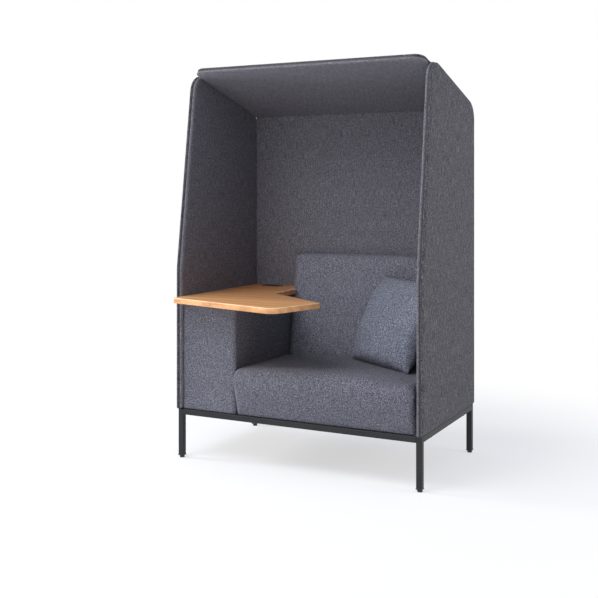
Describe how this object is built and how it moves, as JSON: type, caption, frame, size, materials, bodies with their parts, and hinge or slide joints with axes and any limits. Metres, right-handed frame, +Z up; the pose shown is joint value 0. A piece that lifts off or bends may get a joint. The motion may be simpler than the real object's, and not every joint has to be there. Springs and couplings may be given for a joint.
{
  "type": "sofa booth",
  "caption": "Single-seat upholstered booth with a sloping roof, a side box with a wooden tabletop and lidded outlet, a leaning backrest and a loose pillow.",
  "frame": {"origin": "on the floor, at the middle of the footprint box, which the tabletop reaches in front", "axes": "+Z up, +Y towards the back panel, +X towards the sitter's left hand as they face out, which is right in the picture"},
  "size_m": [1.16, 0.92, 1.7436],
  "materials": {
    "frame_coat": "satin powder coat",
    "black_plastic": "matte",
    "panel_fabric": "blue-grey heathered plain weave",
    "pillow_fabric": "blue-grey heathered plain weave",
    "table_wood": "satin lacquered beech",
    "plywood": "raw",
    "core_board": "black dyed board",
    "zinc_steel": "zinc plated",
    "outlet_plastic": "fine texture",
    "socket_plastic": "smooth",
    "contact_brass": "bright"
  },
  "bodies": {
    "booth": {"leg_front_left": "frame_coat", "leg_front_right": "frame_coat", "leg_rear_left": "frame_coat", "leg_rear_right": "frame_coat", "rail_front": "frame_coat", "rail_rear": "frame_coat", "rail_left": "frame_coat", "rail_right": "frame_coat", "cross_bar_left": "frame_coat", "cross_bar_right": "frame_coat", "leg_plugs": "black_plastic", "seat_front_board": "plywood", "seat_rear_board": "plywood", "seat_end_board_left": "plywood", "seat_end_board_right": "plywood", "seat_deck": "plywood", "seat_cushion": "panel_fabric", "backrest_board": "plywood", "backrest_rib_left": "plywood", "backrest_rib_middle": "plywood", "backrest_rib_right": "plywood", "backrest_cushion": "panel_fabric", "box_front_board": "plywood", "box_right_board": "plywood", "box_left_board": "plywood", "box_rear_board": "plywood", "box_top_board": "plywood", "side_box_cover": "panel_fabric", "tabletop": "table_wood", "table_screws": "zinc_steel", "outlet_housing": "outlet_plastic", "outlet_trim": "outlet_plastic", "socket_insert": "socket_plastic", "socket_contacts": "contact_brass", "lid_pin": "zinc_steel", "cable_gland": "outlet_plastic", "left_panel_core": "core_board", "left_panel_inner_pad": "panel_fabric", "left_panel_outer_pad": "panel_fabric", "right_panel_core": "core_board", "right_panel_inner_pad": "panel_fabric", "right_panel_outer_pad": "panel_fabric", "back_panel_core": "core_board", "back_panel_inner_pad": "panel_fabric", "back_panel_outer_pad": "panel_fabric", "roof_core": "core_board", "roof_lower_pad": "panel_fabric", "roof_upper_pad": "panel_fabric", "panel_bolts": "zinc_steel", "panel_dowels": "plywood"},
    "pillow": {"pillow": "pillow_fabric"},
    "lid": {"outlet_lid": "outlet_plastic"},
    "foot_front_left": {"foot_front_left": "black_plastic"},
    "foot_front_right": {"foot_front_right": "black_plastic"},
    "foot_rear_left": {"foot_rear_left": "black_plastic"},
    "foot_rear_right": {"foot_rear_right": "black_plastic"}
  },
  "joints": [
    {"name": "lid_hinge", "type": "hinge", "parent": "booth", "child": "lid", "pos_m": [-0.428, 0.39721, 0.7196], "axis": [-1, 0, 0], "range_deg": [0, 95]},
    {"name": "pillow_lift", "type": "slide", "parent": "booth", "child": "pillow", "axis": [0, 0, 1], "range_m": [0, 0.25]},
    {"name": "level_front_left", "type": "slide", "parent": "booth", "child": "foot_front_left", "axis": [0, 0, -1], "range_m": [0, 0.01]},
    {"name": "level_front_right", "type": "slide", "parent": "booth", "child": "foot_front_right", "axis": [0, 0, -1], "range_m": [0, 0.01]},
    {"name": "level_rear_left", "type": "slide", "parent": "booth", "child": "foot_rear_left", "axis": [0, 0, -1], "range_m": [0, 0.01]},
    {"name": "level_rear_right", "type": "slide", "parent": "booth", "child": "foot_rear_right", "axis": [0, 0, -1], "range_m": [0, 0.01]}
  ]
}
